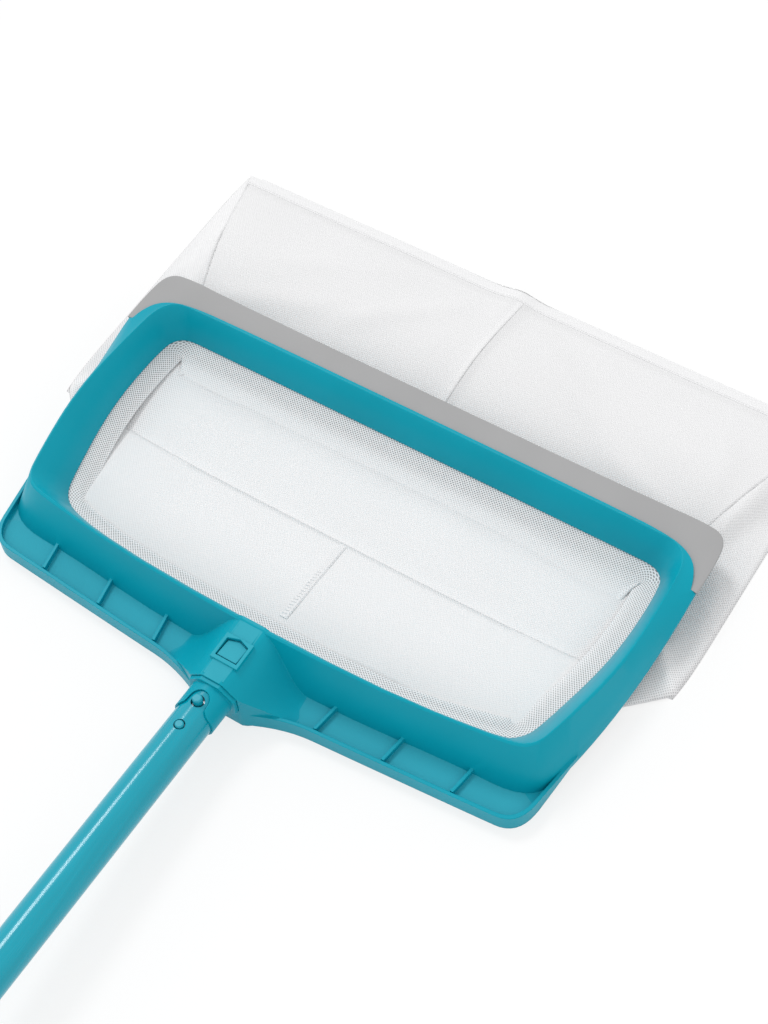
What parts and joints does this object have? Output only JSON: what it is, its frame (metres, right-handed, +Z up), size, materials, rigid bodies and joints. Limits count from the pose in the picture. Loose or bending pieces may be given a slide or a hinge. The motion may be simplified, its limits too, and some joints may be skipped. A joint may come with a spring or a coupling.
{
  "type": "leaf skimmer net",
  "caption": "Wide scoop-shaped skimmer head with a soft scraper lip, a deep mesh bag and a snap-in section of a jointed pole.",
  "frame": {"origin": "on the floor under the middle of the bounding box, head lying on the floor", "axes": "+X to the right across the head, +Y from the pole to the scraper lip, +Z up"},
  "size_m": [0.562, 0.9045, 0.0791],
  "materials": {
    "head_plastic": "satin moulded",
    "ring_plastic": "matte moulded",
    "button_plastic": "satin moulded",
    "lip_rubber": "matte",
    "mesh": "fine woven mesh",
    "tape": "woven tape",
    "pole_metal": "gloss paint",
    "spring_steel": "spring steel strip"
  },
  "bodies": {
    "net_and_pole": {"frame": "head_plastic", "scraper_lip": "lip_rubber", "net_retainer_ring": "ring_plastic", "bag_mouth_band": "mesh", "bag_near_wall": "mesh", "bag_left_wall": "mesh", "bag_right_wall": "mesh", "bag_top_panel": "mesh", "bag_bottom_panel": "mesh", "bag_hem": "tape", "near_seam_binding": "tape", "top_seam_binding": "tape", "pole_socket": "head_plastic", "pole_tube": "pole_metal", "pole_coupler": "ring_plastic"},
    "latch": {"latch_tongue": "head_plastic"},
    "head_clip": {"head_clip_leaf": "spring_steel", "head_lock_button": "button_plastic", "head_release_button": "button_plastic"},
    "coupler_clip": {"coupler_clip_leaf": "spring_steel", "coupler_lock_button": "button_plastic", "coupler_release_button": "button_plastic"}
  },
  "joints": [
    {"name": "latch_press", "type": "hinge", "parent": "net_and_pole", "child": "latch", "pos_m": [0, 0.04785, 0.04815], "axis": [1, 0, 0], "range_deg": [0, 7.6], "stiffness_Nm_per_rad": 1.5, "springref_deg": -1.15},
    {"name": "head_clip_press", "type": "hinge", "parent": "net_and_pole", "child": "head_clip", "pos_m": [0, -0.06258, 0.04637], "axis": [-1, 0, 0], "range_deg": [0, 6.8], "stiffness_Nm_per_rad": 1.5, "springref_deg": -1.15},
    {"name": "coupler_clip_press", "type": "hinge", "parent": "net_and_pole", "child": "coupler_clip", "pos_m": [0, -0.42964, 0.07268], "axis": [-1, 0, 0], "range_deg": [0, 6.8], "stiffness_Nm_per_rad": 1.5, "springref_deg": -1.15}
  ]
}
